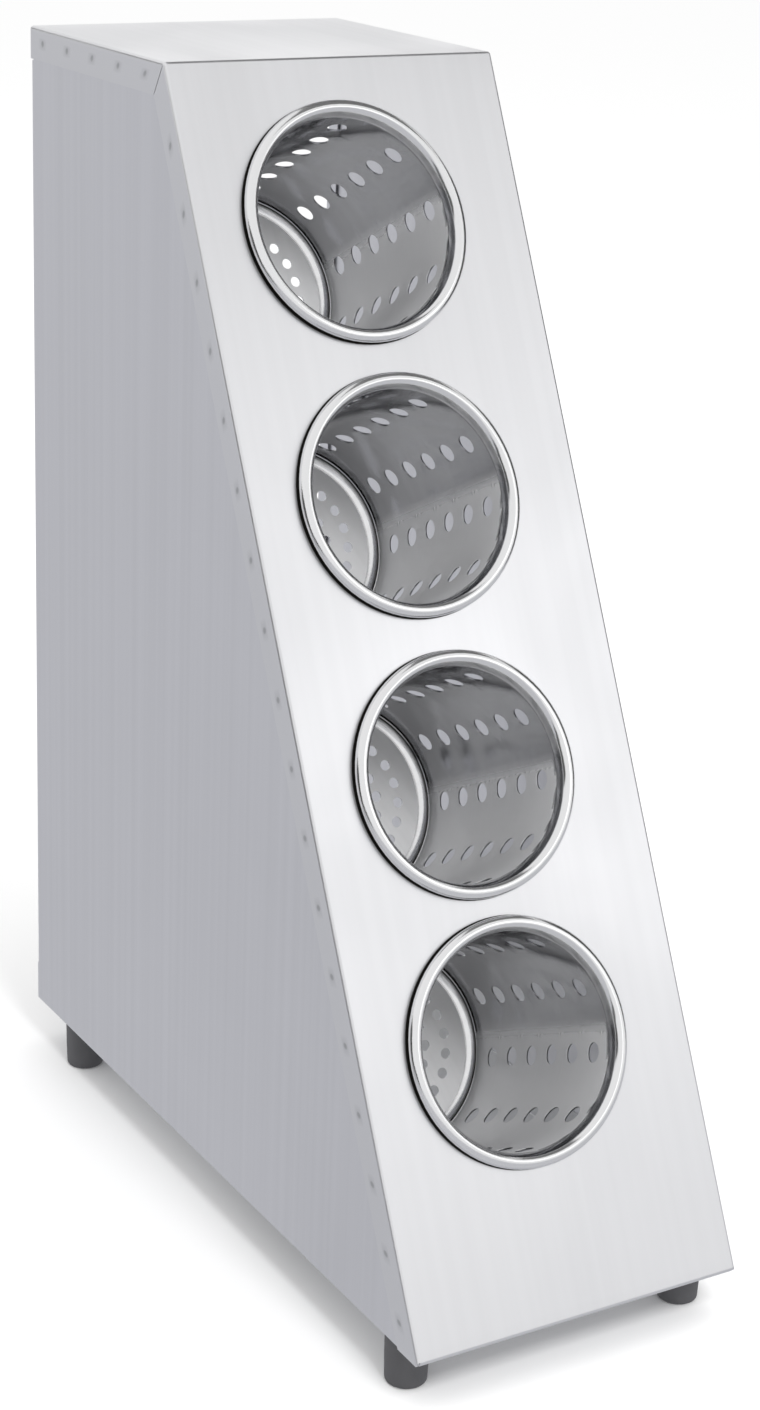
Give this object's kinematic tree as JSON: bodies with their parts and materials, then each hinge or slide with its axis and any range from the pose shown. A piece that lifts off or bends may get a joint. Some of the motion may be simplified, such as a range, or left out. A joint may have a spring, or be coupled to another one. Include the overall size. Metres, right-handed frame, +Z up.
{
  "type": "cutlery dispenser",
  "caption": "Narrow countertop cutlery dispenser: a sheet steel cabinet with a sloped front, in which perforated cylinders hang by rolled rims and lift out.",
  "frame": {"origin": "on the floor, under the middle of the whole object", "axes": "+Z up; -Y towards the person who takes the cutlery, out of the sloped front; +X to that person's right"},
  "size_m": [0.178, 0.418, 0.565],
  "materials": {
    "cabinet_steel": "finely brushed stainless steel",
    "cylinder_steel": "bright satin stainless steel",
    "foot_rubber": "dull dark grey rubber",
    "zinc_steel": "zinc plated"
  },
  "bodies": {
    "cabinet": {"front_top_wrapper": "cabinet_steel", "left_side_panel": "cabinet_steel", "right_side_panel": "cabinet_steel", "base_pan": "cabinet_steel", "front_left_foot": "foot_rubber", "front_right_foot": "foot_rubber", "rear_left_foot": "foot_rubber", "rear_right_foot": "foot_rubber", "foot_studs": "zinc_steel", "foot_washers": "zinc_steel", "foot_lock_washers": "zinc_steel", "foot_nuts": "zinc_steel"},
    "cylinder_1": {"cylinder_sleeve_1": "cylinder_steel", "cylinder_floor_1": "cylinder_steel"},
    "cylinder_2": {"cylinder_sleeve_2": "cylinder_steel", "cylinder_floor_2": "cylinder_steel"},
    "cylinder_3": {"cylinder_sleeve_3": "cylinder_steel", "cylinder_floor_3": "cylinder_steel"},
    "cylinder_4": {"cylinder_sleeve_4": "cylinder_steel", "cylinder_floor_4": "cylinder_steel"}
  },
  "joints": [
    {"name": "cylinder_1_lift", "type": "slide", "parent": "cabinet", "child": "cylinder_1", "axis": [0, -0.8964, 0.4432], "range_m": [0, 0.129]},
    {"name": "cylinder_2_lift", "type": "slide", "parent": "cabinet", "child": "cylinder_2", "axis": [0, -0.8964, 0.4432], "range_m": [0, 0.129]},
    {"name": "cylinder_3_lift", "type": "slide", "parent": "cabinet", "child": "cylinder_3", "axis": [0, -0.8964, 0.4432], "range_m": [0, 0.129]},
    {"name": "cylinder_4_lift", "type": "slide", "parent": "cabinet", "child": "cylinder_4", "axis": [0, -0.8964, 0.4432], "range_m": [0, 0.129]}
  ]
}
